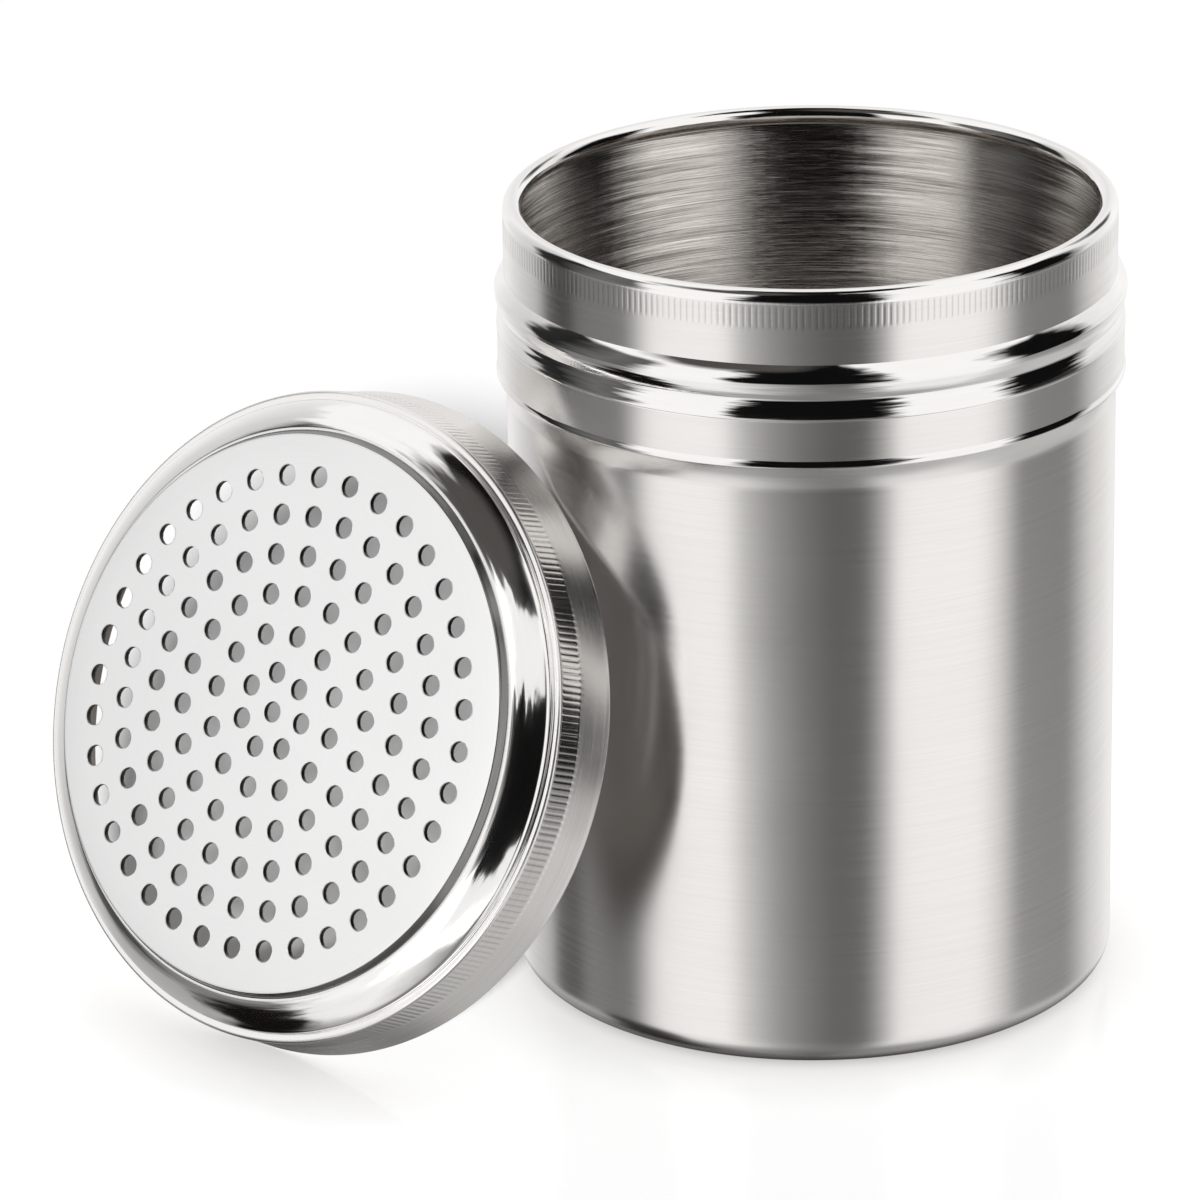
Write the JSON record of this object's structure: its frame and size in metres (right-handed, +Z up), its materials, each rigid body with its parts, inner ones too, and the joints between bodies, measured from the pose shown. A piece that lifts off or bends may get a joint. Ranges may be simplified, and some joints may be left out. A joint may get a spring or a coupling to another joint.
{
  "type": "spice dredge shaker",
  "caption": "Round sheet-metal spice can with a rolled rim and snap beads, its perforated knurled slip-on lid taken off and leaning against it.",
  "frame": {"origin": "centre of the flat underside of the can", "axes": "+Z up along the can's axis; +X to the right of a viewer who faces the lid's side; +Y away from that viewer"},
  "size_m": [0.1252, 0.0838, 0.0935],
  "materials": {
    "can_steel": "round-brushed stainless sheet with polished beads and rim",
    "lid_steel": "satin face, polished round shoulder, knurled and round-brushed skirt"
  },
  "bodies": {
    "can": {"can": "can_steel"},
    "lid": {"lid": "lid_steel"}
  },
  "joints": [
    {"name": "lid_lift", "type": "slide", "parent": "can", "child": "lid", "axis": [-0.576, -0.7189, 0.3891], "range_m": [0, 0.1]}
  ]
}
